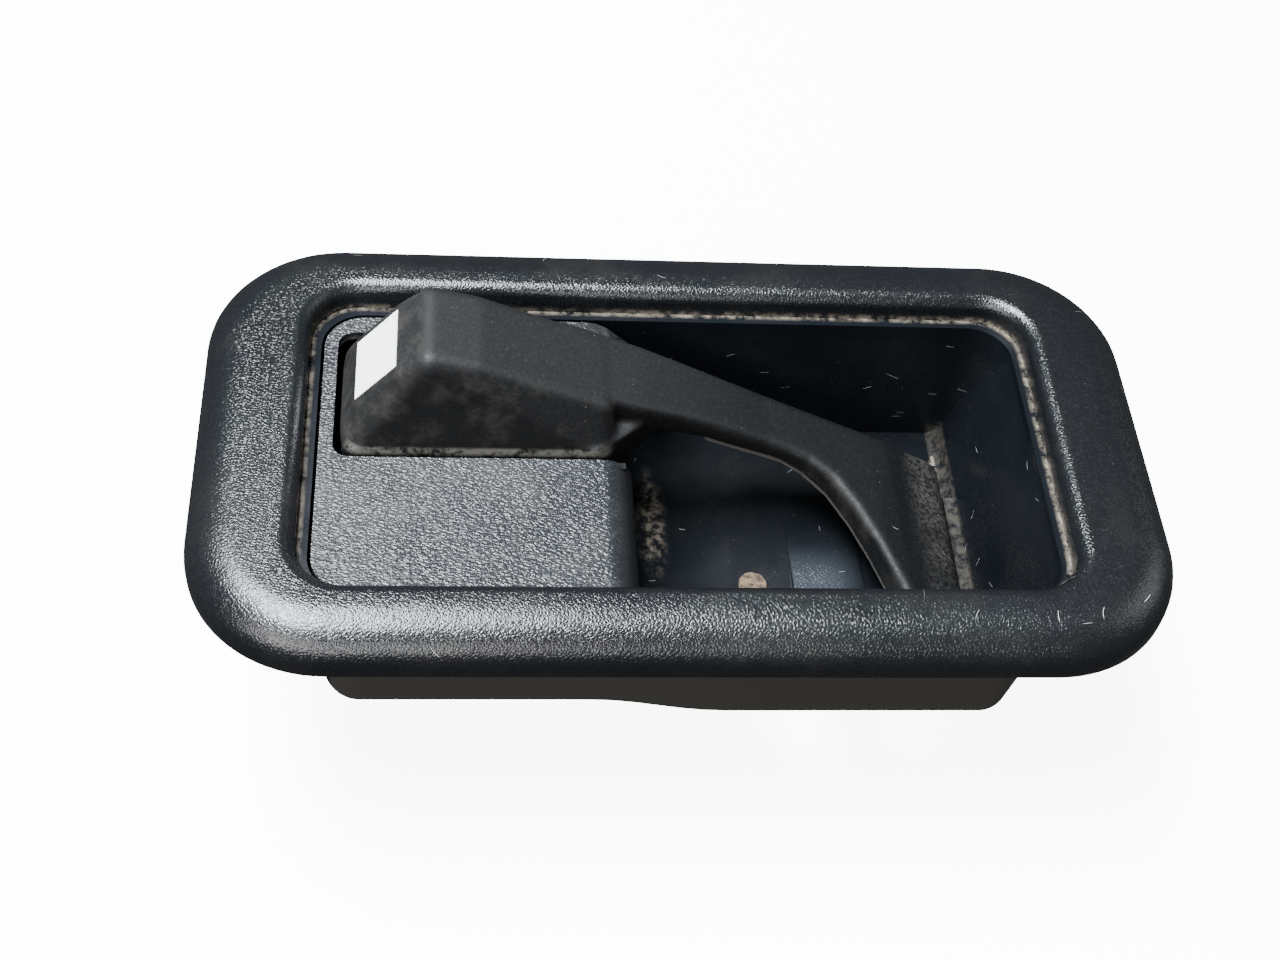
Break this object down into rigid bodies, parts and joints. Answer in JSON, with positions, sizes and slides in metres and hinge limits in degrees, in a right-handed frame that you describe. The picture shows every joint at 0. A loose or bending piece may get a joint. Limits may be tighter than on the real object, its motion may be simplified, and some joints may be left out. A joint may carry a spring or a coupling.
{
  "type": "car door handle",
  "caption": "Interior door release handle: rounded oblong bezel round a deep finger cup, with a hinged pull lever, sprung hinge, rear crank and rod clip.",
  "frame": {"origin": "centre of the bezel, on the plane of the door trim that the bezel's back edge rests on", "axes": "+X along the door towards the hinge end of the lever, +Y up the door, +Z out of the door into the cabin"},
  "size_m": [0.175, 0.0944, 0.0774],
  "materials": {
    "bezel_plastic": "grained satin",
    "housing_plastic": "moulded gloss",
    "plate_plastic": "leather grain",
    "foam": "open foam",
    "zinc_screws": "zinc plated",
    "pin_steel": "yellow zinc plated",
    "spring_steel": "oiled",
    "nylon": "natural nylon",
    "spring_wire": "yellow zinc plated wire",
    "clip_brass": "yellow zinc plated, rusty",
    "buffer_rubber": "matte",
    "lever_plastic": "fine grain",
    "lever_back_plastic": "satin",
    "marker_white": "satin",
    "cast_zinc": "as cast",
    "clip_plastic": "acetal"
  },
  "bodies": {
    "housing": {"bezel": "bezel_plastic", "housing": "housing_plastic", "cover_plate": "plate_plastic", "seal_ring": "foam", "bezel_screws": "zinc_screws", "plate_screws": "zinc_screws", "hinge_pin": "pin_steel", "pin_clip": "spring_steel", "thrust_washers": "nylon", "return_spring": "spring_wire", "fixing_clip": "clip_brass", "pull_stop": "buffer_rubber", "lock_stop": "buffer_rubber", "detent_spring": "spring_steel", "detent_rivet": "zinc_screws"},
    "lever": {"lever": "lever_plastic", "lever_back": "lever_back_plastic", "lever_screws": "zinc_screws", "marker": "marker_white", "pivot_arm": "cast_zinc", "bush_near": "nylon", "bush_far": "nylon"},
    "rod_clip": {"rod_clip": "clip_plastic"}
  },
  "joints": [
    {"name": "lever_pull", "type": "hinge", "parent": "housing", "child": "lever", "pos_m": [0.0505, 0, -0.024], "axis": [0, 1, 0], "range_deg": [-5, 25], "stiffness_Nm_per_rad": 2, "deforming": ["return_spring"]},
    {"name": "clip_swivel", "type": "hinge", "parent": "lever", "child": "rod_clip", "pos_m": [0.04599, -0.0175, -0.0496], "axis": [0, 1, 0], "range_deg": [-30, 30]}
  ]
}
